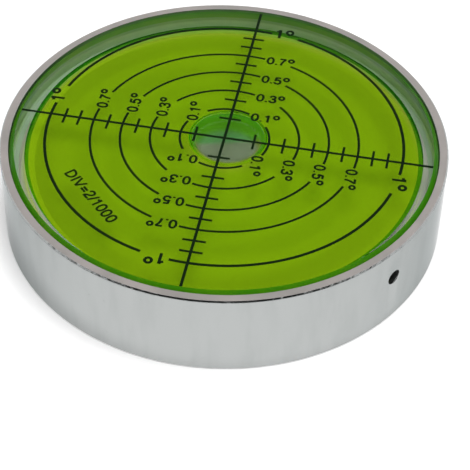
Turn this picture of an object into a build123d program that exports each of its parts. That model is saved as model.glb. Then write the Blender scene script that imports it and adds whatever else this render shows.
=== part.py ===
from build123d import *
from math import asin, cos, degrees, hypot, radians, sin
import os

# Circular bullseye level: a turned aluminium cup holds a clear acrylic vial of green level fluid.
# The lens is ground to a long radius underneath, so the bubble runs to its highest point, and the
# dial printed on top reads the tilt. Millimetres, +Z up, origin at the centre of the base face.
# The arms of the dial lie along X and Y.

# Housing, turned from bar
housing_diameter = 60.0
housing_height = 12.4
rim_width = 1.2
rim_outer_break = 0.2
rim_inner_break = 0.05
base_edge_break = 0.2
pocket_corner_relief = 0.3

# Vial: lens and skirt are one moulding, and a flat disc closes it from below.
# It stands a little proud of the rim.
vial_side_clearance = 0.1
vial_stand = 0.1
vial_top_break = 0.6
skirt_wall = 1.9
lens_thickness = 3.1
lens_ground_radius = 1146.0
fluid_depth = 3.0
vial_base_thickness = 1.0

# Adhesive film between the vial and the floor of the pocket
bond_thickness = 0.2
bond_inset = 1.0

# Side port of the housing, and the tapered stopper in the fill hole behind it
port_diameter = 2.1
port_angle = -32.75
port_rise = 1.1
port_edge_break = 0.08
plug_mouth_diameter = 1.9
plug_throat_diameter = 1.6
plug_sink = 0.15
plug_length = 1.0

# Bubble, flattened against the lens
bubble_diameter = 11.0
bubble_thickness = 2.7
bubble_shoulder_radius = 0.8
bubble_x = 0.05
bubble_y = 2.5

# Dial print, graduated by the tilt that moves the bubble one division
degrees_per_division = 0.1
ring_divisions = (3, 5, 7, 9, 12)
ring_line_width = 0.33
outer_ring_line_width = 0.4
tick_divisions = (2, 4, 6, 8, 10, 11)
tick_line_width = 0.33
tick_length = 3.0
arm_line_width = 0.38
arm_end_margin = 0.62
number_gap_start = 2.4
number_gap_end = 6.2
inner_number_gap_angle = 56.4
print_thickness = 0.04

# Sizes worked out from the values above
housing_radius = housing_diameter / 2
bore_radius = housing_radius - rim_width
vial_radius = bore_radius - vial_side_clearance
fluid_radius = vial_radius - skirt_wall
vial_top = housing_height + vial_stand
lens_crown = vial_top - lens_thickness
ball_centre = lens_crown - lens_ground_radius
fluid_floor = lens_crown - fluid_depth
vial_bottom = fluid_floor - vial_base_thickness
pocket_floor = vial_bottom - bond_thickness
port_height = fluid_floor + port_rise
plug_slope = (plug_mouth_diameter - plug_throat_diameter) / 2 / skirt_wall
plug_outer_end = vial_radius - plug_sink
plug_inner_end = plug_outer_end - plug_length
division = lens_ground_radius * radians(degrees_per_division)
arm_reach = vial_radius - arm_end_margin
quarter_turns = (0, 90, 180, 270)
cut_overrun = 1.0


def turned(*edges):
    """Spin a closed XZ outline about the Z axis."""
    return revolve(make_face(Plane.XZ * Curve(list(edges))), axis=Axis.Z)


def turned_polygon(*points):
    """Spin a closed polygon of radius and height points about the Z axis."""
    return turned(*Polyline(*points, close=True).edges())


def disc(radius, bottom, top):
    """Round plate between two heights."""
    return turned_polygon((0, bottom), (radius, bottom), (radius, top), (0, top))


def edges_at(solid, radius, height):
    """Round edges of a turned solid at one radius and height."""
    rings = solid.edges().filter_by(GeomType.CIRCLE)
    return rings.filter_by(
        lambda e: abs(e.radius - radius) < 1e-4 and abs(e.arc_center.Z - height) < 1e-4
    )


def along_port(inner_radius, outer_radius, inner_bore, outer_bore):
    """Round or tapered bar on the axis of the side port, between two distances from the middle."""
    angle = radians(port_angle)
    outwards = Vector(cos(angle), sin(angle), 0)
    start = Plane(origin=outwards * inner_radius + Vector(0, 0, port_height), z_dir=outwards)
    length = outer_radius - inner_radius
    if inner_bore == outer_bore:
        bar = Cylinder(inner_bore, length, align=(Align.CENTER, Align.CENTER, Align.MIN))
    else:
        bar = Cone(inner_bore, outer_bore, length, align=(Align.CENTER, Align.CENTER, Align.MIN))
    return start * bar


def plug_radius(distance):
    """Radius of the stopper's taper at a distance from the middle of the vial."""
    return plug_throat_diameter / 2 + plug_slope * (distance - fluid_radius)


def plug_taper(overrun):
    """Taper of the fill hole through the skirt, run past both of its walls."""
    start = fluid_radius - overrun
    end = vial_radius + overrun
    return along_port(start, end, plug_radius(start), plug_radius(end))


def make_housing():
    """Cup with a bevelled rim, broken edges and one bored port."""
    cup = turned_polygon(
        (0, 0),
        (housing_radius, 0),
        (housing_radius, housing_height),
        (bore_radius, housing_height),
        (bore_radius, pocket_floor),
        (0, pocket_floor),
    )
    cup = chamfer(edges_at(cup, housing_radius, housing_height), rim_outer_break)
    cup = chamfer(edges_at(cup, bore_radius, pocket_floor), pocket_corner_relief)
    cup = chamfer(edges_at(cup, bore_radius, housing_height), rim_inner_break)
    cup = chamfer(edges_at(cup, housing_radius, 0), base_edge_break)
    start = bore_radius - cut_overrun
    end = housing_radius + cut_overrun
    cup -= along_port(start, end, port_diameter / 2, port_diameter / 2)
    mouth = [
        e
        for e in cup.edges()
        if abs(hypot(e.position_at(0).X, e.position_at(0).Y) - housing_radius) < 1e-3
        and abs(e.center().Z - port_height) < port_diameter
        and e.length < 2 * housing_radius
    ]
    return chamfer(mouth, port_edge_break)


def make_chamber():
    """Space under the lens: a round well whose ceiling is ground to a long radius."""
    ball = Rot(90, 0, 0) * Sphere(lens_ground_radius)
    return disc(fluid_radius, fluid_floor, lens_crown) & Pos(0, 0, ball_centre) * ball


def make_vial_body():
    """Lens and skirt in one, hollow underneath, with the tapered fill hole."""
    puck = disc(vial_radius, fluid_floor, vial_top)
    puck = chamfer(edges_at(puck, vial_radius, vial_top), vial_top_break)
    return puck - make_chamber() - plug_taper(cut_overrun)


def make_vial_base():
    """Flat disc under the skirt, relieved at its lower edge to clear the corner of the pocket."""
    base = disc(vial_radius, vial_bottom, fluid_floor)
    return chamfer(edges_at(base, vial_radius, vial_bottom), pocket_corner_relief)


def make_bubble():
    """Space that the air takes: wide and flat, with its shoulder rolled under the lens."""
    widest = bubble_diameter / 2
    middle = lens_crown - bubble_shoulder_radius
    belly_radius = bubble_thickness - bubble_shoulder_radius
    contact = widest - bubble_shoulder_radius
    flat = widest - belly_radius
    over_lens = lens_crown + cut_overrun
    shoulder = CenterArc((contact, middle), bubble_shoulder_radius, 0, 90)
    belly = CenterArc((flat, middle), belly_radius, 270, 90)
    ends = Polyline(
        (contact, lens_crown),
        (contact, over_lens),
        (0, over_lens),
        (0, middle - belly_radius),
        (flat, middle - belly_radius),
    )
    return Pos(bubble_x, bubble_y, 0) * turned(shoulder, belly, *ends.edges())


def make_level_fluid():
    """Fluid that fills the chamber and the throat of the fill hole, apart from the bubble."""
    throat = plug_taper(cut_overrun) & disc(plug_inner_end, fluid_floor, vial_top)
    return make_chamber() + throat - make_bubble()


def make_fill_plug():
    """Short tapered stopper, sunk a little below the outside of the skirt."""
    sunk_end = disc(plug_outer_end, fluid_floor, vial_top)
    throat_end = disc(plug_inner_end, fluid_floor, vial_top)
    return plug_taper(cut_overrun) & (sunk_end - throat_end)


def make_bond_film():
    """Thin bed of adhesive under the vial."""
    return disc(vial_radius - bond_inset, pocket_floor, vial_bottom)


def dial_ring(radius, line_width, gap_end_angle):
    """Printed ring, broken clockwise of each arm to leave room for its number."""
    ring = Circle(radius + line_width / 2) - Circle(radius - line_width / 2)
    reach = 2 * radius
    gap_start_angle = degrees(asin(number_gap_start / radius))
    for turn in quarter_turns:
        rays = [radians(turn - gap_start_angle), radians(turn - gap_end_angle)]
        corners = [(reach * cos(ray), reach * sin(ray)) for ray in rays]
        ring -= make_face(Polyline((0, 0), *corners, close=True))
    return ring


def dial_arm():
    """Printed arm along +X with its graduation bars."""
    arm = Pos(arm_reach / 2, 0) * Rectangle(arm_reach, arm_line_width)
    for count in tick_divisions:
        distance = count * division
        if distance + tick_line_width / 2 < arm_reach:
            arm += Pos(distance, 0) * Rectangle(tick_line_width, tick_length)
    return arm


def make_dial_print():
    """One printed layer on the lens: crosshair, graduation bars and broken rings."""
    sketch = Rectangle(arm_line_width, arm_line_width)
    for turn in quarter_turns:
        sketch += Rot(0, 0, turn) * dial_arm()
    for count in ring_divisions:
        radius = count * division
        width = outer_ring_line_width if count == max(ring_divisions) else ring_line_width
        if count == min(ring_divisions):
            gap_end_angle = inner_number_gap_angle
        else:
            gap_end_angle = degrees(asin(number_gap_end / radius))
        if radius + width / 2 < arm_reach:
            sketch += dial_ring(radius, width, gap_end_angle)
    return extrude(Pos(0, 0, vial_top) * sketch, print_thickness)


pieces = {
    "housing": make_housing(),
    "vial_body": make_vial_body(),
    "vial_base": make_vial_base(),
    "level_fluid": make_level_fluid(),
    "fill_plug": make_fill_plug(),
    "bond_film": make_bond_film(),
    "dial_print": make_dial_print(),
}

os.makedirs("parts", exist_ok=True)
for name, piece in pieces.items():
    piece.label = name
    export_step(piece, f"parts/{name}.step")
    print(name, "solids", len(piece.solids()), "volume", round(piece.volume, 2))
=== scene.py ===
"""Bullseye level in its studio: a polished cup, a clear vial of green fluid and a printed dial.

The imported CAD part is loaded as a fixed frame. The cup, the vial, the fluid and the adhesive are
modelled again as smooth shells that light can pass through in the right order, the stopper and the
printed rings keep their CAD meshes, and the numbers of the dial are drawn as inked strokes.
"""

import logging
import math
from dataclasses import dataclass
from enum import Enum
from typing import Sequence, Union

import bmesh
import bpy
from mathutils import Matrix, Vector


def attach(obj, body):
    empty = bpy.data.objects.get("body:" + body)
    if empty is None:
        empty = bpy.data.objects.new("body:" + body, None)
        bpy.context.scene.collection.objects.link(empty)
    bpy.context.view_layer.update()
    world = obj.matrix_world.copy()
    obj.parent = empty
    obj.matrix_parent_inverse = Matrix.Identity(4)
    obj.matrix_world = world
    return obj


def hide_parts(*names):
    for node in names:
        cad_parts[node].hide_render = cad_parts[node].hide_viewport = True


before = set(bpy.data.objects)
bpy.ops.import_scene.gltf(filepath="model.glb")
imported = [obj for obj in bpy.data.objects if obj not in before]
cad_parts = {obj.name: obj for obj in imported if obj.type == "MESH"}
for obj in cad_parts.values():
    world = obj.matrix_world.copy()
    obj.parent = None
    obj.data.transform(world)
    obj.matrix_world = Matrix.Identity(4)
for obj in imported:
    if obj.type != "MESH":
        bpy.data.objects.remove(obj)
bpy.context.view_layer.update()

LOG = logging.getLogger("bullseye_level")
MM = 0.001
# Vertices closer than this, in metres, are one
SAME_PLACE = 1e-7
# Farther than any part of the level, in millimetres
BEYOND = 100.0

Point = tuple[float, float]
Place = tuple[float, float, float]
Colour = tuple[float, float, float]
Socket = bpy.types.NodeSocket
Value = Union[Socket, float]

WHITE = (1.0, 1.0, 1.0)


class Slot(Enum):
    """Finishes that the record names."""

    ALUMINIUM = "turned_aluminium"
    ACRYLIC = "clear_acrylic"
    FLUID = "green_fluid"
    ADHESIVE = "clear_adhesive"
    RUBBER = "black_rubber"
    INK = "black_ink"


class Side(Enum):
    """What lies on the far side of an acrylic face."""

    AIR = 0
    FLUID = 1
    ADHESIVE = 2
    CUP = 3
    RIM = 4


@dataclass(frozen=True)
class LevelSizes:
    """Sizes of the level in millimetres, as the CAD source has them.

    Args:
        housing_radius: Outside of the cup.
        housing_height: Height of the cup.
        bore_radius: Inside of the cup.
        vial_radius: Outside of the vial.
        fluid_radius: Inside of the skirt.
        vial_top: Height of the printed face.
        lens_crown: Highest point of the ground face under the lens.
        ground_radius: Radius of that face.
        fluid_floor: Top of the disc that closes the vial.
        vial_bottom: Underside of that disc.
        pocket_floor: Bottom of the cup's pocket.
        bond_inset: How far the adhesive stays inside the vial's edge.
        port_height: Height of the side port's axis.
        port_angle: Direction of the port in degrees.
        print_thickness: Thickness of the ink.
    """

    housing_radius: float = 30.0
    housing_height: float = 12.4
    bore_radius: float = 28.8
    vial_radius: float = 28.7
    fluid_radius: float = 26.8
    vial_top: float = 12.5
    lens_crown: float = 9.4
    ground_radius: float = 1146.0
    fluid_floor: float = 6.4
    vial_bottom: float = 5.4
    pocket_floor: float = 5.2
    bond_inset: float = 1.0
    port_height: float = 7.5
    port_angle: float = -32.75
    print_thickness: float = 0.04

    def lens_height(self, radius: float) -> float:
        """Height of the ground face under the lens at a distance from the middle."""
        return self.lens_crown - self.ground_radius + math.sqrt(self.ground_radius**2 - radius**2)


@dataclass(frozen=True)
class Bubble:
    """Air bubble at rest under the lens, in millimetres.

    Args:
        radius: Its widest radius.
        thickness: Its height.
        shoulder: Radius where its side rolls under the lens.
        film: Fluid left between it and the lens.
        centre: Where it has come to rest.
    """

    radius: float = 5.5
    thickness: float = 2.7
    shoulder: float = 0.8
    film: float = 0.02
    centre: Point = (0.05, 2.5)

    def outline(self, ceiling: float) -> list[Point]:
        """Section of the bubble, from its lowest point to its flat top.

        Args:
            ceiling: Height of the fluid's roof over the bubble's edge.

        Returns:
            Radius and height points about the bubble's own axis.
        """
        top = ceiling - self.film
        middle = top - self.shoulder
        belly = self.thickness - self.shoulder
        flat = self.radius - belly
        contact = self.radius - self.shoulder
        steps = 14
        lower = [math.radians(-90 + 90 * k / steps) for k in range(steps + 1)]
        upper = [math.radians(90 * k / steps) for k in range(1, steps + 1)]
        points = [(0.0, middle - belly)]
        points += [(flat + belly * math.cos(a), middle + belly * math.sin(a)) for a in lower]
        shoulder = self.shoulder
        points += [(contact + shoulder * math.cos(a), middle + shoulder * math.sin(a)) for a in upper]
        points.append((0.0, top))
        return points


class Graph:
    """Nodes and links of one material, world or node group."""

    def __init__(self, tree: bpy.types.NodeTree) -> None:
        """Start an empty graph on a node tree."""
        self.tree = tree
        tree.nodes.clear()

    def add(self, kind: str, inputs: dict | None = None, **settings: object) -> bpy.types.Node:
        """Add a node.

        Args:
            kind: Type of the node, without its ShaderNode prefix.
            inputs: Value or source socket for each named or numbered input.
            settings: Properties of the node.

        Returns:
            The new node.
        """
        node = self.tree.nodes.new("ShaderNode" + kind)
        for name, value in settings.items():
            setattr(node, name, value)
        for name, value in (inputs or {}).items():
            if isinstance(value, Socket):
                self.tree.links.new(value, node.inputs[name])
            else:
                node.inputs[name].default_value = value
        return node

    def place(self, group: bpy.types.NodeTree, **inputs: Value) -> bpy.types.Node:
        """Place a shared node group with its own values for the named inputs."""
        return self.add("Group", inputs, node_tree=group)

    def math(self, operation: str, *values: Value, clamp: bool = False) -> Socket:
        """Work out a value from numbers and sockets.

        Args:
            operation: Name of the Math node's operation.
            values: Operands, in order.
            clamp: Whether the result is kept between 0 and 1.

        Returns:
            The result's socket.
        """
        node = self.add("Math", dict(enumerate(values)), operation=operation, use_clamp=clamp)
        return node.outputs[0]

    def product(self, first: Value, *others: Value) -> Value:
        """Multiply values.

        Args:
            first: First value.
            others: The values that it is multiplied by.

        Returns:
            The product's socket.
        """
        result = first
        for value in others:
            result = self.math("MULTIPLY", result, value)
        return result

    def weighted(self, start: float, *terms: tuple[Socket, float]) -> Value:
        """Add up sockets, each with its weight.

        Args:
            start: Number that the sum starts from.
            terms: Sockets and their weights.

        Returns:
            The sum's socket.
        """
        result = start
        for socket, weight in terms:
            result = self.math("MULTIPLY_ADD", socket, weight, result)
        return result

    def ramp(self, value: Socket, low: float, high: float, start: float = 0.0, end: float = 1.0) -> Socket:
        """Turn a value between two limits smoothly into another range.

        Args:
            value: Socket of the value.
            low: Value where the result is start.
            high: Value where the result is end.
            start: Result at low.
            end: Result at high.

        Returns:
            The result's socket.
        """
        inputs = {"Value": value, "From Min": low, "From Max": high, "To Min": start, "To Max": end}
        return self.add("MapRange", inputs, interpolation_type="SMOOTHSTEP").outputs[0]

    def rise(self, length: Socket, low: float, high: float, start: float = 0.0, end: float = 1.0) -> Socket:
        """Ramp over a length, with its limits in millimetres."""
        return self.ramp(length, low * MM, high * MM, start, end)

    def between(self, length: Socket, low: float = -BEYOND, high: float = BEYOND) -> Value:
        """Zone along a length.

        Args:
            length: Socket of the length in metres.
            low: Where the zone starts, in millimetres.
            high: Where it ends.

        Returns:
            Socket that is 1 inside the zone and 0 outside it.
        """
        over = self.math("GREATER_THAN", length, low * MM)
        return self.product(over, self.math("LESS_THAN", length, high * MM))

    def blend(self, factor: Value, first: Socket | Colour, second: Socket | Colour) -> Socket:
        """Mix two colours.

        Args:
            factor: Share of the second colour.
            first: First colour.
            second: Second colour.

        Returns:
            The mixed colour's socket.
        """
        colours = [(*c, 1.0) if isinstance(c, tuple) else c for c in (first, second)]
        node = self.add("Mix", {0: factor, 6: colours[0], 7: colours[1]}, data_type="RGBA")
        return node.outputs[2]

    def noise(self, vector: Socket, scale: Value, detail: float) -> Socket:
        """Value of a cloudy pattern over a vector."""
        return self.add("TexNoise", {"Vector": vector, "Scale": scale, "Detail": detail}).outputs[0]

    def where(self) -> Socket:
        """Place on the piece, in Object coordinates."""
        return self.add("TexCoord").outputs["Object"]

    def split(self, vector: Socket) -> tuple[Socket, Socket, Socket]:
        """Split a vector into its X, Y and Z."""
        return tuple(self.add("SeparateXYZ", {0: vector}).outputs)

    def moved(
        self, vector: Socket, by: Place = (0.0, 0.0, 0.0), scale: Place = (1.0, 1.0, 1.0)
    ) -> Socket:
        """Scale a vector and move it, in millimetres.

        Args:
            vector: Socket of the vector.
            by: How far it is moved.
            scale: Its scale along X, Y and Z.

        Returns:
            The new vector's socket.
        """
        shift = tuple(part * MM for part in by)
        return self.add("Mapping", {"Vector": vector, "Location": shift, "Scale": scale}).outputs[0]

    def length(self, vector: Socket) -> Socket:
        """Length of a vector."""
        return self.add("VectorMath", {0: vector}, operation="LENGTH").outputs["Value"]

    def either(self, *rays: str) -> Value:
        """Sort out kinds of ray.

        Args:
            rays: Names of the kinds, as the Light Path node has them.

        Returns:
            Socket that is 1 for any of them.
        """
        path = self.add("LightPath").outputs
        total = path[rays[0]]
        for ray in rays[1:]:
            total = self.math("MAXIMUM", total, path[ray])
        return total

    def output_of(self, kind: str, inputs: dict) -> Socket:
        """Add a node and give its first output."""
        return self.add(kind, inputs).outputs[0]

    def mixed(self, share: Socket, first: Socket, second: Socket) -> Socket:
        """Mix two shaders by the share of the second."""
        return self.output_of("MixShader", {0: share, 1: first, 2: second})


def effect(name: str, inputs: dict[str, float | None], outputs: Sequence[str]) -> bpy.types.NodeTree:
    """Start a shared node group with named inputs and outputs.

    Args:
        name: Name of the group.
        inputs: Usual value of each input, or None for a vector.
        outputs: Names of its outputs, all of them values.

    Returns:
        The group, still empty.
    """
    tree = bpy.data.node_groups.new(name, "ShaderNodeTree")
    for label, usual in inputs.items():
        kind = "NodeSocketVector" if usual is None else "NodeSocketFloat"
        socket = tree.interface.new_socket(label, in_out="INPUT", socket_type=kind)
        if usual is not None:
            socket.default_value = usual
    for label in outputs:
        tree.interface.new_socket(label, in_out="OUTPUT", socket_type="NodeSocketFloat")
    return tree


def speckle_group() -> bpy.types.NodeTree:
    """Node group for fine uneven specks that several finishes share.

    Returns:
        A group with the inputs Vector, Scale and Cover, and the outputs Mask and Cloud.
    """
    tree = effect("speckle", {"Vector": None, "Scale": 500.0, "Cover": 0.3}, ("Mask", "Cloud"))
    graph = Graph(tree)
    given = tree.nodes.new("NodeGroupInput").outputs
    result = tree.nodes.new("NodeGroupOutput").inputs
    fine = graph.noise(given["Vector"], scale=given["Scale"], detail=3.0)
    coarse = graph.product(given["Scale"], 0.18)
    broad = graph.noise(given["Vector"], scale=coarse, detail=2.0)
    threshold = graph.weighted(0.78, (given["Cover"], -0.35))
    mask = graph.math("MULTIPLY", graph.math("SUBTRACT", fine, threshold), 9.0, clamp=True)
    tree.links.new(mask, result["Mask"])
    tree.links.new(broad, result["Cloud"])
    return tree


def turning_group() -> bpy.types.NodeTree:
    """Node group for the fine marks that a lathe tool leaves.

    Returns:
        A group with the inputs Along, Pitch and Vector, and the output Height.
    """
    tree = effect("turning_marks", {"Along": 0.0, "Pitch": 0.00006, "Vector": None}, ("Height",))
    graph = Graph(tree)
    given = tree.nodes.new("NodeGroupInput").outputs
    result = tree.nodes.new("NodeGroupOutput").inputs
    turns = graph.math("DIVIDE", given["Along"], given["Pitch"])
    groove = graph.add("TexNoise", {"W": turns, "Scale": 1.0, "Detail": 2.0}, noise_dimensions="1D")
    wear = graph.noise(given["Vector"], scale=300.0, detail=2.0)
    worn = graph.product(groove.outputs[0], wear)
    tree.links.new(worn, result["Height"])
    return tree


@dataclass(frozen=True)
class Effects:
    """Node groups that the finishes share.

    Args:
        speckle: Fine uneven specks.
        turning: Marks of a lathe tool.
    """

    speckle: bpy.types.NodeTree
    turning: bpy.types.NodeTree


def new_material(name: str) -> tuple[bpy.types.Material, Graph]:
    """Start a material.

    Args:
        name: Name of the material.

    Returns:
        The material and its empty graph.
    """
    material = bpy.data.materials.new(name)
    material.use_nodes = True
    return material, Graph(material.node_tree)


@dataclass(frozen=True)
class Aluminium:
    """Turned and polished aluminium, with a satin rim and a dull pocket, plus painted light and shade: a
    pool of light on the pocket floor, green light on the lip over the lens and shade in the port.

    Args:
        sizes: Sizes that place the zones, in millimetres.
        rim_inset: How far the satin rim stays inside the outer edge.
        bevel_reach: How far the nicks of the bevel reach from the outer edge and from the top.
        outer_break: Bevel at the outside of the rim.
        inner_break: Break at the inside of the rim, which the pocket's finish leaves out.
        bore_start: How far behind the wall the painted shade of the port starts.
        bore_top: How far under the top it ends.
        slack: How far a zone reaches past the faces that belong to it.
        wall: Polished outside and its streaks.
        wall_speck: Specks on it.
        rim: Satin rim and its clouds; the pinkish tone of its lighter colour is a painted reflection.
        rim_speck: Specks on it.
        pocket: Floor of the pocket and its clouds.
        painted_caustic: Colour of a painted pool of light on that floor, where the lamp's light bent by the
            skirt would fall.
        painted_caustic_start: Radius of the circle where the painted light starts.
        painted_caustic_centre: Middle of that circle.
        painted_caustic_blur: Width over which the painted light starts.
        under_skirt: Share of the painted light's colour that shows under the skirt.
        skirt_blur: Width over which that changes.
        lip_painted_light: Inside of the cup over the lens, near and far, painted green for the vial's light
            reflected there, with painted shade that makes it darker near and lighter far.
        lip_zone: Places along Y between which the near colour turns into the far one.
        bore: Near-black colour inside the side port: painted shade.
        specular: Tint of its reflections.
    """

    sizes: LevelSizes
    rim_inset: float = 0.15
    bevel_reach: float = 0.3
    outer_break: float = 0.2
    inner_break: float = 0.05
    bore_start: float = 0.22
    bore_top: float = 0.5
    slack: float = 0.01
    wall: tuple[Colour, Colour] = ((0.455, 0.47, 0.465), (0.42, 0.435, 0.43))
    wall_speck: Colour = (0.32, 0.33, 0.32)
    # The rim's pinkish tone is a painted reflection; its clouds and specks are the metal's own.
    rim: tuple[Colour, Colour] = ((0.56, 0.505, 0.485), (0.34, 0.33, 0.31))
    rim_speck: Colour = (0.24, 0.24, 0.22)
    pocket: tuple[Colour, Colour] = ((0.36, 0.37, 0.36), (0.3, 0.31, 0.3))
    # Painted light: a brighter band on the pocket floor that stands in for the lamp's light bent by the
    # skirt.
    painted_caustic: Colour = (0.53, 0.52, 0.46)
    painted_caustic_start: float = 26.25
    painted_caustic_centre: Point = (0.55, 1.1)
    painted_caustic_blur: float = 0.25
    under_skirt: float = 0.35
    skirt_blur: float = 0.2
    # Painted reflection and shade: green from the vial on the cup's inside over the lens, darker at the
    # near side than at the far side.
    lip_painted_light: tuple[Colour, Colour] = ((0.06, 0.115, 0.045), (0.12, 0.22, 0.09))
    lip_zone: Point = (8.0, 20.0)
    # Painted shade: the inside of the port is coloured near black.
    bore: Colour = (0.03, 0.032, 0.031)
    specular: Colour = (0.6, 0.62, 0.62)

    def _zones(self, graph: Graph, radius: Socket, height: Socket) -> tuple[Value, Value, Value, Value]:
        """Sort the surface into its zones.

        Args:
            graph: Graph of the material.
            radius: Distance from the level's axis.
            height: Height over the base.

        Returns:
            Marks of the rim, the bevel, the pocket and the bore of the port.
        """
        s = self.sizes
        edge = s.housing_radius
        top = s.housing_height
        inside = s.bore_radius + self.slack
        on_top = graph.between(height, top - 2 * self.slack)
        rim = graph.product(on_top, graph.between(radius, high=edge - self.rim_inset))
        near_top = graph.rise(height, top - self.bevel_reach, top - self.outer_break)
        bevel = graph.product(near_top, graph.between(radius, edge - self.bevel_reach))
        under_rim = graph.between(height, high=top - self.inner_break - self.slack)
        pocket = graph.product(under_rim, graph.between(radius, high=inside))
        through_wall = graph.between(radius, inside, edge - self.bore_start)
        bore = graph.product(through_wall, graph.between(height, s.pocket_floor, top - self.bore_top))
        return rim, bevel, pocket, bore

    def _pocket_colour(self, graph: Graph, cloud: Socket, flat: Socket, place: Sequence[Socket]) -> Socket:
        """Colour of the pocket: its floor with a painted pool of light at its margin, and the lip over the
        lens with painted green light and shade.

        Args:
            graph: Graph of the material.
            cloud: Clouds of the floor.
            flat: Place on the piece without its height.
            place: X, Y and Z on the piece.

        Returns:
            The colour's socket.
        """
        s = self.sizes
        x, y = self.painted_caustic_centre
        reach = graph.length(graph.moved(flat, (-x, -y, 0.0)))
        outside = graph.rise(reach, self.painted_caustic_start, self.painted_caustic_start + self.painted_caustic_blur)
        radius = graph.length(flat)
        skirt = s.fluid_radius + self.skirt_blur
        shown = graph.rise(radius, s.fluid_radius, skirt, 1.0, self.under_skirt)
        floor = graph.blend(cloud, *self.pocket)
        # Painted light: the floor is brightened outside a circle off the axis, weaker under the skirt.
        floor = graph.blend(graph.product(shown, outside), floor, self.painted_caustic)
        # Painted reflection and shade on the lip: darker near, lighter far.
        lip_painted_light = graph.blend(graph.rise(place[1], *self.lip_zone), *self.lip_painted_light)
        return graph.blend(graph.between(place[2], s.lens_crown), floor, lip_painted_light)

    def build(self, effects: Effects) -> bpy.types.Material:
        """Make the material, zone by zone.

        Args:
            effects: Shared node groups.

        Returns:
            The material.
        """
        material, graph = new_material(Slot.ALUMINIUM.value)
        vector = graph.where()
        place = graph.split(vector)
        flat = graph.moved(vector, scale=(1.0, 1.0, 0.0))
        radius = graph.length(flat)
        rim, bevel, pocket, bore = self._zones(graph, radius, place[2])
        specks = graph.place(effects.speckle, Vector=vector, Scale=1400.0, Cover=0.25).outputs
        stretched = graph.moved(vector, scale=(1.0, 1.0, 0.22))
        streak = graph.ramp(graph.noise(stretched, scale=420.0, detail=5.0), 0.4, 0.75)
        wall = graph.blend(streak, *self.wall)
        wall = graph.blend(graph.product(specks["Mask"], 0.5), wall, self.wall_speck)
        satin = graph.blend(specks["Cloud"], *self.rim)
        satin = graph.blend(graph.product(specks["Mask"], 0.6), satin, self.rim_speck)
        dull = self._pocket_colour(graph, specks["Cloud"], flat, place)
        colour = graph.blend(pocket, graph.blend(rim, wall, satin), dull)
        rings = graph.place(effects.turning, Vector=vector, Along=radius, Pitch=0.00012).outputs[0]
        turned = graph.product(rings, graph.math("MAXIMUM", rim, pocket))
        nicks = graph.product(bevel, graph.noise(vector, scale=1300.0, detail=4.0), 6.0)
        relief = {"Height": graph.math("ADD", turned, nicks), "Distance": 0.00003, "Strength": 0.5}
        look = {
            # The port's bore gets its near-black painted shade here.
            "Base Color": graph.blend(bore, colour, self.bore),
            "Roughness": graph.weighted(0.08, (streak, 0.05), (rim, 0.35), (pocket, 0.5), (bore, 0.5)),
            "Metallic": graph.weighted(1.0, (pocket, -0.75), (rim, -0.7), (bore, -0.95)),
            "Specular Tint": (*self.specular, 1.0),
            "Normal": graph.output_of("Bump", relief),
        }
        graph.add("OutputMaterial", {"Surface": graph.output_of("BsdfPrincipled", look)})
        return material


@dataclass(frozen=True)
class VialFace:
    """Face of the clear vial, which lets the light of lamps through.

    Args:
        name: Name of the material.
        index: Index of acrylic over that of what lies behind the face.
        satin: Share of the face that the lathe left dull.
        below: Painted colour of that share below the level: the green light and shade seen in the turned
            face, lighter than above.
        above: Its painted colour above the level, darker.
        level: Height in millimetres where the two meet.
        blur: How far their change reaches below that height and above it.
        grooves: How much the turning marks change the share.
        clouds: Faint colour of the clouds in the clear share.
        haze: Roughness of its specks.
    """

    name: str
    index: float = 1.49
    satin: float = 0.0
    below: Colour = WHITE
    above: Colour = WHITE
    level: float = 0.0
    blur: Point = (0.4, 0.1)
    grooves: float = 0.08
    clouds: Colour = (0.97, 0.985, 0.975)
    haze: float = 0.06

    def _with_satin(self, graph: Graph, effects: Effects, vector: Socket, clear: Socket) -> Socket:
        """Mix the dull share, with its painted colour, into the clear shader.

        Args:
            graph: Graph of the material.
            effects: Shared node groups.
            vector: Place on the piece.
            clear: The clear shader.

        Returns:
            The mixed shader.
        """
        height = graph.split(vector)[2]
        marks = graph.place(effects.turning, Vector=vector, Along=height, Pitch=0.0002).outputs[0]
        over = graph.rise(height, self.level - self.blur[0], self.level + self.blur[1])
        # The dull share's green is painted light and shade, lighter below the level than above it.
        dull = graph.output_of("BsdfDiffuse", {"Color": graph.blend(over, self.below, self.above)})
        share = graph.ramp(marks, 0.1, 0.45, self.satin - self.grooves, self.satin + self.grooves)
        return graph.mixed(share, clear, dull)

    def build(self, effects: Effects) -> bpy.types.Material:
        """Make the material.

        Args:
            effects: Shared node groups.

        Returns:
            The material.
        """
        material, graph = new_material(self.name)
        vector = graph.where()
        specks = graph.place(effects.speckle, Vector=vector, Scale=900.0, Cover=0.1).outputs
        look = {
            "Base Color": graph.blend(specks["Cloud"], WHITE, self.clouds),
            "Roughness": graph.product(specks["Mask"], self.haze),
            "IOR": self.index,
            "Transmission Weight": 1.0,
        }
        face = graph.output_of("BsdfPrincipled", look)
        if self.satin:
            face = self._with_satin(graph, effects, vector, face)
        lit = graph.either("Is Shadow Ray", "Is Diffuse Ray")
        straight = graph.output_of("BsdfTransparent", {})
        graph.add("OutputMaterial", {"Surface": graph.mixed(lit, face, straight)})
        return material


VIAL_FACES = {
    Side.AIR: VialFace("acrylic_to_air"),
    Side.FLUID: VialFace("acrylic_to_fluid", index=1.053),
    # The lower side and the turned edge carry painted green light and shade in their dull share.
    Side.CUP: VialFace(
        "acrylic_lower_side_painted_light", satin=0.84, below=(0.27, 0.385, 0.27), above=(0.16, 0.28, 0.16), level=8.5
    ),
    Side.RIM: VialFace(
        "acrylic_turned_edge_painted_shade", satin=0.92, below=(0.1, 0.25, 0.055), above=(0.035, 0.19, 0.004), level=11.9
    ),
}


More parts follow.
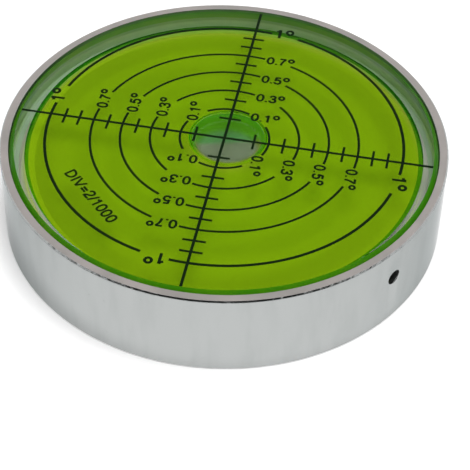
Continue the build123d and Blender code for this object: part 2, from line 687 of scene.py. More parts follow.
@dataclass(frozen=True)
class WettedFace:
    """Face of the vial that the adhesive wets, so that it doesn't show.

    Args:
        clouds: Faint colour of its clouds.
    """

    clouds: Colour = (0.96, 0.98, 0.96)

    def build(self, effects: Effects) -> bpy.types.Material:
        """Make the material.

        Args:
            effects: Shared node groups.

        Returns:
            The material.
        """
        material, graph = new_material("acrylic_to_adhesive")
        specks = graph.place(effects.speckle, Vector=graph.where(), Scale=500.0, Cover=0.1).outputs
        tint = graph.blend(specks["Cloud"], WHITE, self.clouds)
        graph.add("OutputMaterial", {"Surface": graph.output_of("BsdfTransparent", {"Color": tint})})
        return material


@dataclass(frozen=True)
class GreenFluid:
    """Yellow-green fluid: the dye takes blue light, and the bubble's surface bends it. The bubble and the
    top corner of the chamber carry painted shade.

    Args:
        sizes: Sizes of the level.
        bubble: The bubble, whose lower side carries painted shade.
        index: Index of the fluid.
        underside: Painted shade on the bubble's flat underside, a grey-blue tint.
        far_half_shade: Painted shade on its far half, a dark green tint.
        far_underside: Places along Y, from the bubble's middle, between which that painted shade sets in
            on the underside.
        far_wall: The same on the upright side.
        slant: How much the start on the underside leans with X.
        corner: Painted shade: colour of the dark line at the top corner of the chamber and of the fluid's
            upright wall.
        corner_width: Width of that line at the sides, in millimetres.
        corner_shift: How far the line is moved towards the front, in millimetres.
        corner_squeeze: Scale along Y before its radius is measured, so that it thins out at the
            front and the back.
        corner_height: How far it reaches down from the height of the lens's crown.
        corner_blur: Half of the width over which it starts.
        dye: Colour that the fluid lets through.
        density: Strength of the dye.
        glow: Light that the fluid scatters back.
        glow_strength: How much of it.
    """

    sizes: LevelSizes
    bubble: Bubble
    index: float = 1.45
    # Painted shade on the bubble: grey-blue under it, dark green on its far half.
    underside: Colour = (0.36, 0.43, 0.67)
    far_half_shade: Colour = (0.09, 0.57, 0.25)
    far_underside: Point = (1.0, 2.3)
    far_wall: Point = (-3.5, -1.5)
    slant: float = -0.3
    # Painted shade: dark green for the top corner line and the fluid's upright wall.
    corner: Colour = (0.24, 0.6, 0.1)
    corner_width: float = 0.65
    corner_shift: float = 0.2
    corner_squeeze: float = 0.97
    corner_height: float = 0.4
    corner_blur: float = 0.05
    dye: Colour = (0.9, 0.995, 0.0)
    density: float = 830.0
    glow: Colour = (0.3, 0.75, 0.0)
    glow_strength: float = 8.0

    def _bubble_painted_shade(self, graph: Graph, upright: Socket, place: Sequence[Socket]) -> Socket:
        """Painted shade on the bubble's surface: none on its upright side and its shoulder, grey-blue on
        the underside, dark at the far half.

        Args:
            graph: Graph of the material.
            upright: Mark of the faces that stand upright.
            place: X, Y and Z on the piece.

        Returns:
            The tint's socket.
        """
        middle = self.bubble.centre[1]
        slanted = graph.weighted(0.0, (place[1], 1.0), (place[0], self.slant))
        underside = graph.rise(slanted, *(middle + y for y in self.far_underside))
        wall = graph.product(upright, graph.rise(place[1], *(middle + y for y in self.far_wall)))
        # Painted shade: grey-blue on the underside, dark green on the far half, none on the near upright
        # side.
        side = graph.blend(upright, self.underside, WHITE)
        side = graph.blend(graph.math("MAXIMUM", underside, wall), side, self.far_half_shade)
        below = graph.between(place[2], high=self.sizes.lens_crown - self.bubble.shoulder)
        return graph.blend(below, WHITE, side)

    def _corner_shade_mark(self, graph: Graph, vector: Socket, height: Socket) -> Value:
        """Mark of the painted shade line at the top corner of the chamber, widest at the left and right.

        Args:
            graph: Graph of the material.
            vector: Place on the piece.
            height: Its height.

        Returns:
            Socket that is 1 on the line.
        """
        s = self.sizes
        squeezed = graph.moved(vector, (0.0, self.corner_shift, 0.0), (1.0, self.corner_squeeze, 0.0))
        start = s.fluid_radius - self.corner_width
        reach = graph.length(squeezed)
        outside = graph.rise(reach, start - self.corner_blur, start + self.corner_blur)
        return graph.product(outside, graph.between(height, s.lens_crown - self.corner_height))

    def build(self) -> bpy.types.Material:
        """Make the material from the marks that the fluid's faces carry.

        Returns:
            The material.
        """
        material, graph = new_material(Slot.FLUID.value)
        on_bubble = graph.add("Attribute", attribute_name="bubble").outputs["Fac"]
        upright = graph.add("Attribute", attribute_name="skirt").outputs["Fac"]
        vector = graph.where()
        place = graph.split(vector)
        lit = graph.either("Is Shadow Ray", "Is Diffuse Ray")
        look = {
            "Base Color": self._bubble_painted_shade(graph, upright, place),
            "Roughness": 0.0,
            "IOR": self.index,
            "Transmission Weight": 1.0,
        }
        bent = graph.output_of("BsdfPrincipled", look)
        # Painted shade: seen rays find the fluid's upright wall and the corner line tinted dark green.
        dark = graph.math("MAXIMUM", upright, self._corner_shade_mark(graph, vector, place[2]))
        seen = graph.math("SUBTRACT", dark, lit, clamp=True)
        straight = graph.output_of("BsdfTransparent", {"Color": graph.blend(seen, WHITE, self.corner)})
        surface = graph.mixed(graph.math("SUBTRACT", on_bubble, lit, clamp=True), straight, bent)
        dye = graph.output_of("VolumeAbsorption", {"Color": (*self.dye, 1.0), "Density": self.density})
        glow = graph.output_of("Emission", {"Color": (*self.glow, 1.0), "Strength": self.glow_strength})
        volume = graph.output_of("AddShader", {0: dye, 1: glow})
        graph.add("OutputMaterial", {"Surface": surface, "Volume": volume})
        return material


@dataclass(frozen=True)
class Adhesive:
    """Thin cured adhesive with a little haze and a few tiny bubbles.

    Args:
        colour: Colour of the haze.
        haze: Least share of the haze.
        clouds: Share that its clouds add.
    """

    colour: Colour = (0.78, 0.8, 0.77)
    haze: float = 0.1
    clouds: float = 0.12

    def build(self, effects: Effects) -> bpy.types.Material:
        """Make the material.

        Args:
            effects: Shared node groups.

        Returns:
            The material.
        """
        material, graph = new_material(Slot.ADHESIVE.value)
        specks = graph.place(effects.speckle, Vector=graph.where(), Scale=700.0, Cover=0.3).outputs
        look = {
            "Base Color": (*self.colour, 1.0),
            "Roughness": 0.5,
            "Alpha": graph.weighted(self.haze, (specks["Cloud"], self.clouds)),
        }
        graph.add("OutputMaterial", {"Surface": graph.output_of("BsdfPrincipled", look)})
        return material


@dataclass(frozen=True)
class MattBlack:
    """Matt black finish with a fine grain.

    Args:
        name: Name of the material.
        grain: Scale of the grain.
        cover: How much of the surface it covers.
        blacks: Its two blacks.
        rough: Roughness beside the grain and on it.
        relief: Height of the grain in metres.
        strength: How strongly the grain shows.
        specular: Level of its reflections.
    """

    name: str
    grain: float
    cover: float
    blacks: tuple[Colour, Colour]
    rough: tuple[float, float]
    relief: float
    strength: float
    specular: float = 0.5

    def build(self, effects: Effects) -> bpy.types.Material:
        """Make the material.

        Args:
            effects: Shared node groups.

        Returns:
            The material.
        """
        material, graph = new_material(self.name)
        specks = graph.place(
            effects.speckle, Vector=graph.where(), Scale=self.grain, Cover=self.cover
        ).outputs
        grain = {"Height": specks["Mask"], "Distance": self.relief, "Strength": self.strength}
        look = {
            "Base Color": graph.blend(specks["Cloud"], *self.blacks),
            "Roughness": graph.ramp(specks["Mask"], 0.0, 1.0, *self.rough),
            "Specular IOR Level": self.specular,
            "Normal": graph.output_of("Bump", grain),
        }
        graph.add("OutputMaterial", {"Surface": graph.output_of("BsdfPrincipled", look)})
        return material


SCREEN_INK = MattBlack(
    name=Slot.INK.value,
    grain=6000.0,
    cover=0.5,
    blacks=((0.003, 0.011, 0.003), (0.006, 0.018, 0.005)),
    rough=(0.55, 0.4),
    relief=0.00001,
    strength=0.3,
    specular=0.05,
)
MOULDED_RUBBER = MattBlack(
    name=Slot.RUBBER.value,
    grain=3500.0,
    cover=0.6,
    blacks=((0.022, 0.024, 0.023), (0.05, 0.053, 0.05)),
    rough=(0.6, 0.8),
    relief=0.00002,
    strength=0.6,
)


class Finishes:
    """Materials of the level, each made once."""

    def __init__(self, sizes: LevelSizes, bubble: Bubble) -> None:
        """Make the shared node groups, then the materials.

        Args:
            sizes: Sizes that place the zones of a finish.
            bubble: The bubble in the fluid.
        """
        effects = Effects(speckle_group(), turning_group())
        self.aluminium = Aluminium(sizes).build(effects)
        self.acrylic = {side: face.build(effects) for side, face in VIAL_FACES.items()}
        self.acrylic[Side.ADHESIVE] = WettedFace().build(effects)
        self.fluid = GreenFluid(sizes, bubble).build()
        self.adhesive = Adhesive().build(effects)
        self.ink = SCREEN_INK.build(effects)
        self.rubber = MOULDED_RUBBER.build(effects)


def spun(outline: Sequence[Point], segments: int, centre: Point = (0.0, 0.0)) -> bmesh.types.BMesh:
    """Spin an outline about an upright axis into a closed shell.

    Args:
        outline: Radius and height points in millimetres, from the axis back to the axis.
        segments: Number of steps round the axis.
        centre: Place of the axis in millimetres.

    Returns:
        A bmesh in metres with its faces outward.
    """
    bm = bmesh.new()
    x, y = centre
    ring = [bm.verts.new(((r + x) * MM, y * MM, z * MM)) for r, z in outline]
    edges = [bm.edges.new(pair) for pair in zip(ring, ring[1:])]
    bmesh.ops.spin(
        bm,
        geom=ring + edges,
        cent=(x * MM, y * MM, 0.0),
        axis=(0.0, 0.0, 1.0),
        angle=math.tau,
        steps=segments,
        use_merge=True,
    )
    bmesh.ops.remove_doubles(bm, verts=bm.verts, dist=SAME_PLACE)
    bmesh.ops.recalc_face_normals(bm, faces=bm.faces)
    return bm


def hollowed(shell: bmesh.types.BMesh, cavity: bmesh.types.BMesh) -> bmesh.types.BMesh:
    """Put a closed cavity inside a closed shell.

    Args:
        shell: The outside, which gets the cavity.
        cavity: The inside, which is used up.

    Returns:
        The shell, with the faces of the cavity turned into it.
    """
    bmesh.ops.reverse_faces(cavity, faces=cavity.faces)
    return joined(shell, cavity)


def joined(shell: bmesh.types.BMesh, other: bmesh.types.BMesh) -> bmesh.types.BMesh:
    """Add the faces of another bmesh to a shell.

    Args:
        shell: The bmesh that gets them.
        other: The other one, which is used up.

    Returns:
        The shell.
    """
    carrier = bpy.data.meshes.new("carrier")
    other.to_mesh(carrier)
    other.free()
    shell.from_mesh(carrier)
    bpy.data.meshes.remove(carrier)
    return shell


def as_object(name: str, bm: bmesh.types.BMesh) -> bpy.types.Object:
    """Make an object at the origin from a bmesh.

    Args:
        name: Name of the object and its mesh.
        bm: The bmesh, which is used up.

    Returns:
        The object.
    """
    mesh = bpy.data.meshes.new(name)
    bm.to_mesh(mesh)
    bm.free()
    piece = bpy.data.objects.new(name, mesh)
    bpy.context.scene.collection.objects.link(piece)
    return piece


def smooth(piece: bpy.types.Object, angle: float = 25.0) -> None:
    """Shade a piece smooth, with sharp edges above an angle in degrees."""
    piece.data.shade_smooth()
    piece.data.set_sharp_from_angle(angle=math.radians(angle))


def cut(piece: bpy.types.Object, tool: bpy.types.Object) -> None:
    """Take a closed tool out of a closed piece, and remove the tool.

    Args:
        piece: The piece that is cut.
        tool: The shape that is taken away.
    """
    modifier = piece.modifiers.new("cut", "BOOLEAN")
    modifier.operation = "DIFFERENCE"
    modifier.solver = "EXACT"
    modifier.object = tool
    bpy.context.view_layer.update()
    made = piece.evaluated_get(bpy.context.evaluated_depsgraph_get())
    mesh = bpy.data.meshes.new_from_object(made)
    piece.modifiers.clear()
    old = piece.data
    piece.data = mesh
    mesh.name = piece.name
    bpy.data.meshes.remove(old)
    bpy.data.objects.remove(tool)


def hand_over(piece: bpy.types.Object, slot: Slot, *nodes: str) -> None:
    """Let a piece ride on the level, hide the CAD nodes that it stands for and log its finish.

    Args:
        piece: The finished piece.
        slot: Material slot of the record.
        nodes: CAD nodes that the piece replaces.
    """
    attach(piece, "root")
    if nodes:
        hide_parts(*nodes)
    LOG.info("%s: %d faces, finish %s", piece.name, len(piece.data.polygons), slot.value)


@dataclass
class SidePort:
    """Bored hole in the side of the cup, and the stopper's taper behind it.

    Args:
        sizes: Sizes of the level.
        bore: Radius of the hole in the cup.
        edge_break: Width of the break round its mouth.
        mouth: Radius of the taper at the outside of the vial.
        throat: Radius of the taper at the inside of the skirt.
        plug_depth: How far the stopper's seat reaches into the skirt.
        overrun: How far a tool runs past what it cuts.
        slack: How far a vertex of the mouth may lie from the true edge.
    """

    sizes: LevelSizes
    bore: float = 1.05
    edge_break: float = 0.08
    mouth: float = 0.95
    throat: float = 0.8
    plug_depth: float = 1.17
    overrun: float = 1.0
    slack: float = 0.02

    def _bar(self, name: str, inner: float, outer: float, start: float, end: float) -> bpy.types.Object:
        """Round or tapered bar along the port.

        Args:
            name: Name of the bar.
            inner: Its radius at the inner end.
            outer: Its radius at the outer end.
            start: Distance of the inner end from the level's axis.
            end: Distance of the outer end.

        Returns:
            The bar as an object.
        """
        bm = bmesh.new()
        bmesh.ops.create_cone(
            bm,
            cap_ends=True,
            segments=48,
            radius1=inner * MM,
            radius2=outer * MM,
            depth=(end - start) * MM,
        )
        turn = Matrix.Rotation(math.radians(self.sizes.port_angle), 4, "Z")
        lay = Matrix.Rotation(math.radians(90.0), 4, "Y")
        move = Matrix.Translation(((start + end) / 2 * MM, 0.0, self.sizes.port_height * MM))
        bmesh.ops.transform(bm, matrix=turn @ move @ lay, verts=bm.verts)
        return as_object(name, bm)

    def cup_tool(self) -> bpy.types.Object:
        """Bar that bores the cup's wall.

        Returns:
            The bar as an object.
        """
        start = self.sizes.bore_radius - self.overrun
        end = self.sizes.housing_radius + self.overrun
        return self._bar("port_tool", self.bore, self.bore, start, end)

    def vial_tool(self) -> bpy.types.Object:
        """Tapered bar that makes the stopper's seat in the skirt of the vial.

        Returns:
            The bar as an object.
        """
        s = self.sizes
        slope = (self.mouth - self.throat) / (s.vial_radius - s.fluid_radius)
        inner = self.mouth - slope * self.plug_depth
        outer = self.mouth + slope * self.overrun
        start = s.vial_radius - self.plug_depth
        return self._bar("taper_tool", inner, outer, start, s.vial_radius + self.overrun)

    def on_mouth(self, edge: bmesh.types.BMEdge) -> bool:
        """Whether an edge lies on the mouth of the hole in the outer wall.

        Args:
            edge: Edge of the bored cup.

        Returns:
            True if both its ends do.
        """
        s = self.sizes
        angle = math.radians(s.port_angle)
        out = Vector((math.cos(angle), math.sin(angle), 0.0))
        for vert in edge.verts:
            place = vert.co / MM
            offset = place - Vector((0.0, 0.0, s.port_height))
            across = (offset - out * offset.dot(out)).length
            on_wall = abs(place.xy.length - s.housing_radius) < self.slack / 2
            if not on_wall or abs(across - self.bore) > self.slack:
                return False
        return True


@dataclass
class Cup:
    """Turned housing with a bevelled rim and one bored port.

    Args:
        sizes: Sizes of the level.
        port: The hole in its side.
        outer_break: Bevel at the outside of the rim.
        inner_break: Break at the inside of the rim.
        base_break: Break at the edge of the base.
        corner_relief: Corner left in the pocket.
        segments: Steps round the cup.
        sharp: Least angle of the edge at the port's mouth, in radians.
    """

    sizes: LevelSizes
    port: SidePort
    outer_break: float = 0.2
    inner_break: float = 0.05
    base_break: float = 0.2
    corner_relief: float = 0.3
    segments: int = 288
    sharp: float = 0.8

    def outline(self) -> list[Point]:
        """Section of the cup.

        Returns:
            Radius and height points from axis to axis.
        """
        s = self.sizes
        return [
            (0.0, 0.0),
            (s.housing_radius - self.base_break, 0.0),
            (s.housing_radius, self.base_break),
            (s.housing_radius, s.housing_height - self.outer_break),
            (s.housing_radius - self.outer_break, s.housing_height),
            (s.bore_radius + self.inner_break, s.housing_height),
            (s.bore_radius, s.housing_height - self.inner_break),
            (s.bore_radius, s.pocket_floor + self.corner_relief),
            (s.bore_radius - self.corner_relief, s.pocket_floor),
            (0.0, s.pocket_floor),
        ]

    def build(self, finishes: Finishes) -> bpy.types.Object:
        """Spin the cup, bore the port and break its mouth.

        Args:
            finishes: Materials of the level.

        Returns:
            The finished piece.
        """
        piece = as_object("cup", spun(self.outline(), self.segments))
        cut(piece, self.port.cup_tool())
        bm = bmesh.new()
        bm.from_mesh(piece.data)
        bmesh.ops.remove_doubles(bm, verts=bm.verts, dist=SAME_PLACE)
        mouth = [e for e in bm.edges if self.port.on_mouth(e) and e.calc_face_angle(0.0) > self.sharp]
        bmesh.ops.bevel(
            bm,
            geom=mouth,
            offset=self.port.edge_break * MM,
            segments=2,
            profile=0.5,
            affect="EDGES",
            material=-1,
        )
        bm.to_mesh(piece.data)
        bm.free()
        smooth(piece)
        piece.data.materials.append(finishes.aluminium)
        hand_over(piece, Slot.ALUMINIUM, "housing")
        return piece


@dataclass
class Chamber:
    """Space for the fluid inside the vial.

    Args:
        sizes: Sizes of the level.
        foot: Height of the foot of its wall, where the fluid's wall has no painted shade.
        arc_steps: Points along the ground face.
        segments: Steps round the chamber.
    """

    sizes: LevelSizes
    foot: float = 1.3
    arc_steps: int = 12
    segments: int = 256

    def shell(self, gap: float = 0.0) -> bmesh.types.BMesh:
        """Closed shell of the chamber, with the ground face as an arc of points.

        Args:
            gap: How far it stays inside the acrylic, in millimetres.

        Returns:
            A bmesh with its faces outward.
        """
        s = self.sizes
        wall = s.fluid_radius - gap
        floor = s.fluid_floor + gap
        radii = [wall * k / self.arc_steps for k in range(self.arc_steps, -1, -1)]
        arc = [(radius, s.lens_height(radius) - gap) for radius in radii]
        outline = [(0.0, floor), (wall, floor), (wall, s.fluid_floor + self.foot), *arc]
        return spun(outline, self.segments)


@dataclass
class Vial:
    """Clear vial: lens, skirt and closing disc as one shell round the chamber.

    Args:
        sizes: Sizes of the level.
        port: Place of the stopper's taper.
        chamber: Space for the fluid.
        top_break: Break at the edge of the printed face.
        foot_break: Relief at the lower edge.
        slack: How far the centre of a face may lie from where it is expected.
        level: Upright part of a normal from which a face counts as level.
    """

    sizes: LevelSizes
    port: SidePort
    chamber: Chamber
    top_break: float = 0.6
    foot_break: float = 0.3
    slack: float = 0.05
    level: float = 0.9

    def outline(self) -> list[Point]:
        """Section of the outside.

        Returns:
            Radius and height points from axis to axis.
        """
        s = self.sizes
        return [
            (0.0, s.vial_bottom),
            (s.vial_radius - s.bond_inset, s.vial_bottom),
            (s.vial_radius - self.foot_break, s.vial_bottom),
            (s.vial_radius, s.vial_bottom + self.foot_break),
            (s.vial_radius, s.lens_crown),
            (s.vial_radius, s.vial_top - self.top_break),
            (s.vial_radius - self.top_break, s.vial_top),
            (0.0, s.vial_top),
        ]

    def build(self, finishes: Finishes) -> bpy.types.Object:
        """Spin the vial round its chamber and open the fill hole.

        Args:
            finishes: Materials of the level.

        Returns:
            The finished piece.
        """
        shell = spun(self.outline(), self.chamber.segments)
        piece = as_object("vial", hollowed(shell, self.chamber.shell()))
        cut(piece, self.port.vial_tool())
        smooth(piece)
        for side in Side:
            piece.data.materials.append(finishes.acrylic[side])
        for face in piece.data.polygons:
            face.material_index = self.side_of(face.center / MM, face.normal).value
        hand_over(piece, Slot.ACRYLIC, "vial_body", "vial_base")
        return piece

    def side_of(self, centre: Vector, normal: Vector) -> Side:
        """What lies behind a face of the vial.

        Args:
            centre: Centre of the face in millimetres.
            normal: Its normal.

        Returns:
            The side.
        """
        s = self.sizes
        radius = math.hypot(centre.x, centre.y)
        in_height = s.fluid_floor - self.slack < centre.z < s.lens_crown + self.slack
        if in_height and radius < s.fluid_radius + self.slack:
            return Side.FLUID
        if centre.z < s.vial_bottom + self.slack and normal.z < -self.level:
            return Side.ADHESIVE if radius < s.vial_radius - s.bond_inset else Side.CUP
        if radius > s.vial_radius - self.top_break and abs(normal.z) < self.level:
            return Side.RIM if centre.z > s.lens_crown else Side.CUP
        return Side.AIR


@dataclass
class Fluid:
    """Green fluid with the air bubble in it.

    Args:
        sizes: Sizes of the level.
        chamber: The space that it fills.
        bubble: The bubble.
        gap: Space between the fluid's shell and the acrylic, too thin to see.
        bubble_segments: Steps round the bubble.
        bubble_upright: Range of a normal's height on the bubble's lower side.
        wall_upright: The same on the fluid's wall.
    """

    sizes: LevelSizes
    chamber: Chamber
    bubble: Bubble
    gap: float = 0.01
    bubble_segments: int = 128
    bubble_upright: Point = (-0.75, 0.05)
    wall_upright: Point = (-0.1, 0.1)

    def _mark(self, bm: bmesh.types.BMesh, is_bubble: bool) -> None:
        """Mark the faces of one shell for the fluid's material.

        Args:
            bm: The shell.
            is_bubble: Whether it is the bubble.
        """
        on_bubble = bm.faces.layers.float.new("bubble")
        on_skirt = bm.faces.layers.float.new("skirt")
        lowest, highest = self.bubble_upright if is_bubble else self.wall_upright
        foot = (self.sizes.fluid_floor + self.chamber.foot) * MM
        for face in bm.faces:
            at_foot = not is_bubble and face.calc_center_median().z < foot
            face[on_bubble] = float(is_bubble)
            # The skirt mark picks the upright faces, which the fluid's material treats apart in its painted
            # shade.
            face[on_skirt] = float(lowest < face.normal.z < highest and not at_foot)

    def build(self, finishes: Finishes) -> bpy.types.Object:
        """Spin the fluid and put the bubble in it.

        Args:
            finishes: Materials of the level.

        Returns:
            The finished piece.
        """
        reach = math.hypot(*self.bubble.centre) + self.bubble.radius
        ceiling = self.sizes.lens_height(reach) - self.gap
        shell = self.chamber.shell(self.gap)
        bubble = spun(self.bubble.outline(ceiling), self.bubble_segments, self.bubble.centre)
        self._mark(shell, False)
        self._mark(bubble, True)
        piece = as_object("fluid", hollowed(shell, bubble))
        smooth(piece, 30.0)
        piece.data.materials.append(finishes.fluid)
        hand_over(piece, Slot.FLUID, "level_fluid")
        return piece


@dataclass
class BondBed:
    """Thin bed of adhesive that holds the vial down in the cup.

    Args:
        sizes: Sizes of the level.
        gap: Space that keeps its faces off the solids.
        waver: How far its edge wanders.
        broad_waves: Broad waves round the edge.
        fine_waves: Fine waves on them.
        fine_share: Height of a fine wave over that of a broad one.
        band: Width of the ring of faces at its edge.
        segments: Steps round the bed.
    """

    sizes: LevelSizes
    gap: float = 0.02
    waver: float = 0.25
    broad_waves: int = 5
    fine_waves: int = 11
    fine_share: float = 0.6
    band: float = 2.0
    segments: int = 192

    def _wander(self, angle: float) -> float:
        """Change of the edge's radius at an angle, which never makes it larger.

        Args:
            angle: Angle round the bed in radians.

        Returns:
            The change in millimetres.
        """
        broad = math.sin(self.broad_waves * angle + 0.7)
        fine = self.fine_share * math.sin(self.fine_waves * angle)
        return self.waver / 2 * (broad + fine - 1.0 - self.fine_share)

    def build(self, finishes: Finishes) -> bpy.types.Object:
        """Spin the bed and let its edge wander.

        Args:
            finishes: Materials of the level.

        Returns:
            The finished piece.
        """
        s = self.sizes
        radius = s.vial_radius - s.bond_inset
        low = s.pocket_floor + self.gap
        high = s.vial_bottom - self.gap
        outline = [(0.0, low), (radius - self.band, low), (radius, low), (radius, high)]
        outline += [(radius - self.band, high), (0.0, high)]
        bm = spun(outline, self.segments)
        for vert in bm.verts:
            level = vert.co.xy.length / MM
            if level > radius - self.band / 2:
                factor = 1.0 + self._wander(math.atan2(vert.co.y, vert.co.x)) / level
                vert.co.x *= factor
                vert.co.y *= factor
        piece = as_object("bond_bed", bm)
        smooth(piece)
        piece.data.materials.append(finishes.adhesive)
        hand_over(piece, Slot.ADHESIVE, "bond_film")
        return piece


@dataclass(frozen=True)
class Stroke:
    """One pull of the pen in a glyph, in units of its height.

    Args:
        points: Points on the centreline.
        curved: Whether the line runs smoothly through them.
        closed: Whether it joins up.
    """

    points: tuple[Point, ...]
    curved: bool = False
    closed: bool = False


@dataclass(frozen=True)
class Glyph:
    """One character of the dial.

    Args:
        advance: Room that it takes along the line.
        strokes: Its strokes.
    """

    advance: float
    strokes: tuple[Stroke, ...]


def straight(*points: Point) -> Stroke:
    """Stroke with straight stretches."""
    return Stroke(points)


def curve(*points: Point) -> Stroke:
    """Smooth open stroke."""
    return Stroke(points, curved=True)


def loop(*points: Point) -> Stroke:
    """Smooth stroke that joins up."""
    return Stroke(points, curved=True, closed=True)


def glyph(advance: float, *strokes: Stroke) -> Glyph:
    """Character made of strokes."""
    return Glyph(advance, strokes)


DIGIT = 0.774
NARROW = 0.387
GLYPHS = {
    "0": glyph(DIGIT, loop((0.385, 0.94), (0.655, 0.5), (0.385, 0.04), (0.115, 0.5))),
    "1": glyph(
        DIGIT,
        straight((0.44, 0.0), (0.44, 0.98)),
        curve((0.16, 0.74), (0.33, 0.8), (0.43, 0.95)),
    ),
    "2": glyph(
        DIGIT,
        curve(
            (0.11, 0.67), (0.19, 0.87), (0.385, 0.94), (0.59, 0.85),
            (0.62, 0.66), (0.5, 0.46), (0.22, 0.24), (0.11, 0.05),
        ),
        straight((0.06, 0.065), (0.67, 0.065)),
    ),
    "3": glyph(
        DIGIT,
        curve(
            (0.13, 0.71), (0.2, 0.87), (0.38, 0.94), (0.57, 0.87),
            (0.6, 0.71), (0.52, 0.56), (0.32, 0.52),
        ),
        curve(
            (0.32, 0.52), (0.56, 0.46), (0.65, 0.28), (0.57, 0.1),
            (0.38, 0.04), (0.18, 0.1), (0.1, 0.27),
        ),
    ),
    "5": glyph(
        DIGIT,
        straight((0.63, 0.92), (0.2, 0.92)),
        straight((0.22, 0.95), (0.15, 0.46)),
        curve(
            (0.15, 0.49), (0.26, 0.58), (0.4, 0.61), (0.58, 0.52), (0.65, 0.32),
            (0.57, 0.11), (0.37, 0.04), (0.18, 0.1), (0.1, 0.25),
        ),
    ),
    "7": glyph(
        DIGIT,
        straight((0.09, 0.92), (0.68, 0.92)),
        curve((0.64, 0.91), (0.43, 0.6), (0.31, 0.28), (0.27, 0.0)),
    ),
    ".": glyph(NARROW, straight((0.19, 0.0), (0.19, 0.14))),
    "/": glyph(NARROW, straight((0.02, -0.02), (0.37, 1.0))),
    "=": glyph(0.813, straight((0.1, 0.3), (0.71, 0.3)), straight((0.1, 0.57), (0.71, 0.57))),
    "D": glyph(
        1.006,
        straight((0.18, 0.0), (0.18, 1.0)),
        curve(
            (0.18, 0.935), (0.48, 0.92), (0.76, 0.78), (0.86, 0.5),
            (0.76, 0.22), (0.48, 0.08), (0.18, 0.065),
        ),
    ),
    "I": glyph(NARROW, straight((0.195, 0.0), (0.195, 1.0))),
    "V": glyph(0.929, straight((0.05, 1.0), (0.465, 0.03)), straight((0.88, 1.0), (0.465, 0.03))),
    "o": glyph(0.75, loop((0.4, 1.02), (0.63, 0.79), (0.4, 0.56), (0.17, 0.79))),
}


@dataclass(frozen=True)
class Label:
    """Words or numbers on the dial.

    Args:
        text: Characters, with o for the degree ring.
        height: Height of the digits in millimetres.
        place: Where the line starts, in millimetres from the middle of the dial.
        turn: Direction of the line in degrees.
        pen: Width of the strokes in millimetres.
    """

    text: str
    height: float
    place: Vector
    turn: float
    pen: float


@dataclass(frozen=True)
class RingNumber:
    """Number of one ring, printed beside each arm.

    Args:
        text: The number, with o for the degree ring.
        distance: Distance of its middle from the middle of the dial.
        height: Height of its digits.
        pen: Width of its strokes.
    """

    text: str
    distance: float
    height: float = 1.49
    pen: float = 0.33


RING_NUMBERS = (
    RingNumber("0.1o", 5.07),
    RingNumber("0.3o", 9.3),
    RingNumber("0.5o", 13.42),
    RingNumber("0.7o", 17.65),
    RingNumber("1o", 23.97, height=1.89, pen=0.4),
)


